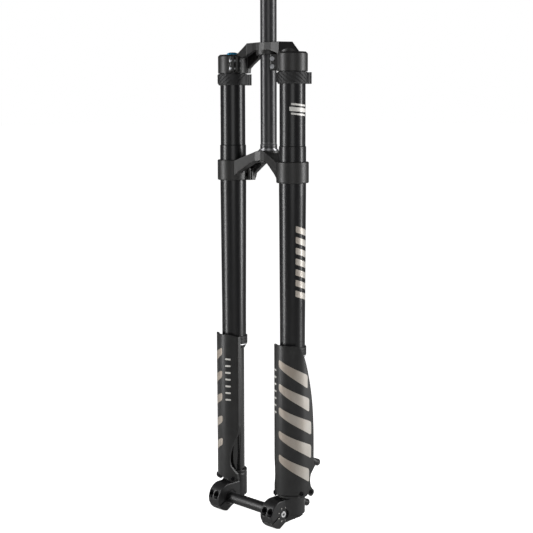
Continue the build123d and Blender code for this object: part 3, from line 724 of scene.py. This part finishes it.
for side in SIDES:
    bumper_low, bumper_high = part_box(f"frame_bumper_{side}")
    low_edge, high_edge = bumper_low.z + PLAIN_BELOW_MM * MM, bumper_high.z - PLAIN_ABOVE_MM * MM
    sleeve_radius = leg_radius(f"frame_bumper_{side}", side, (low_edge + high_edge) / 2)
    mid = (low_edge + high_edge) / 2 / MM
    ribs = [bar(FIRST_RIB + RIB_STEP * k, mid, width=34, height=1.8, lean=26) for k in range(RIB_COUNT)]
    film(f"bumper_ribs_{side}", side, ribs, 0, steady(sleeve_radius), on_round_wall,
         BUMPER, "upper_assembly", thickness_mm=RIB_MM,
         clip=[(low_edge, -1), (high_edge, 1)])

# %% [markdown]
# ## Marks round the axle
# A ring of short pale marks on the left boss shows how far the axle is turned.  Each mark is a
# thin printed block standing on the boss's outer face, round the centre of the drive plug.

# %% Axle marks
MARK_COUNT = 8
MARK_RADIUS_MM = 12.3
MARK_SIZE_MM = (0.5, 1.5, 2.2)
MARK_EDGE_MM = 0.1
plug_centre = middle("axle_drive_plug")
start = Vector((plug_centre.x + RAY_START, plug_centre.y, plug_centre.z + MARK_RADIUS_MM * MM))
found, face_point, *_ = soft_dropouts["left"].ray_cast(start, Vector((-1, 0, 0)))
if not found:
    raise ValueError("no boss face beside the drive plug")
marks = bmesh.new()
for k in range(MARK_COUNT):
    turn = Matrix.Rotation(radians(360 / MARK_COUNT * (k + 0.5)), 4, "X")
    size = Matrix.Diagonal([length * MM for length in MARK_SIZE_MM] + [1.0])
    out = Matrix.Translation((0, 0, MARK_RADIUS_MM * MM))
    base = Matrix.Translation((face_point.x, plug_centre.y, plug_centre.z))
    bmesh.ops.create_cube(marks, size=1.0, matrix=base @ turn @ out @ size)
bmesh.ops.bevel(marks, geom=list(marks.edges), offset=MARK_EDGE_MM * MM, segments=1, profile=0.5,
                affect="EDGES", material=-1)
mark_piece = piece_from("axle_marks_left", marks, WHITE_FILM)
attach(mark_piece, "lower_assembly")
print("axle marks on the face at x =", round(face_point.x, 4))

# %% [markdown]
# ## Floor
# The fork hangs just clear of a pale floor, so wide that its far edge doesn't show.  It glows
# white for the camera and not for anything that it would light, so the black parts stay black.

# %% Floor
FLOOR_SIZE = 60.0
FLOOR_GAP_MM = 1.0
FLOOR_GLOW = 0.92

paper, paper_tree, paper_shader = new_finish("pale_floor_paper", 0.8)
paper_tree.links.new(blend_colours(paper_tree, grain(paper_tree, 40.0), "#F2F2F1", "#F7F7F6"),
                     paper_shader.inputs["Base Color"])
paper_shader.inputs["Emission Color"].default_value = linear("#FFFFFF")
glow = add(paper_tree, "ShaderNodeMath",
           {0: add(paper_tree, "ShaderNodeLightPath").outputs["Is Camera Ray"]}, {1: FLOOR_GLOW},
           operation="MULTIPLY")
paper_tree.links.new(glow.outputs[0], paper_shader.inputs["Emission Strength"])

sheet = bmesh.new()
bmesh.ops.create_grid(sheet, x_segments=1, y_segments=1, size=FLOOR_SIZE)
bmesh.ops.translate(sheet, verts=sheet.verts, vec=(0, 0, floor_height - FLOOR_GAP_MM * MM))
floor = piece_from("studio_floor", sheet, paper)
print("floor", FLOOR_GAP_MM, "mm under the fork, whose lowest point is at z =", round(floor_height, 4))

# %% [markdown]
# ## Surround
# The world works like the floor: the camera sees plain white, while everything else gets only a
# little of that light, just enough to lift the shadows.

# %% World
SURROUND_LIGHT = 0.12

world = bpy.data.worlds.new("studio")
bpy.context.scene.world = world
world.use_nodes = True
sky = world.node_tree
sky.nodes.clear()
ray = add(sky, "ShaderNodeLightPath")
seen = add(sky, "ShaderNodeBackground", inputs={"Color": linear("#FFFFFF"), "Strength": 1.0})
lighting = add(sky, "ShaderNodeBackground", inputs={"Color": linear("#FFFFFF"), "Strength": SURROUND_LIGHT})
mixed = add(sky, "ShaderNodeMixShader", {0: ray.outputs["Is Camera Ray"], 1: lighting.outputs[0],
                                         2: seen.outputs[0]})
add(sky, "ShaderNodeOutputWorld", {"Surface": mixed.outputs[0]})
bpy.context.scene.view_settings.view_transform = "Standard"
print("surround lights with strength", SURROUND_LIGHT)
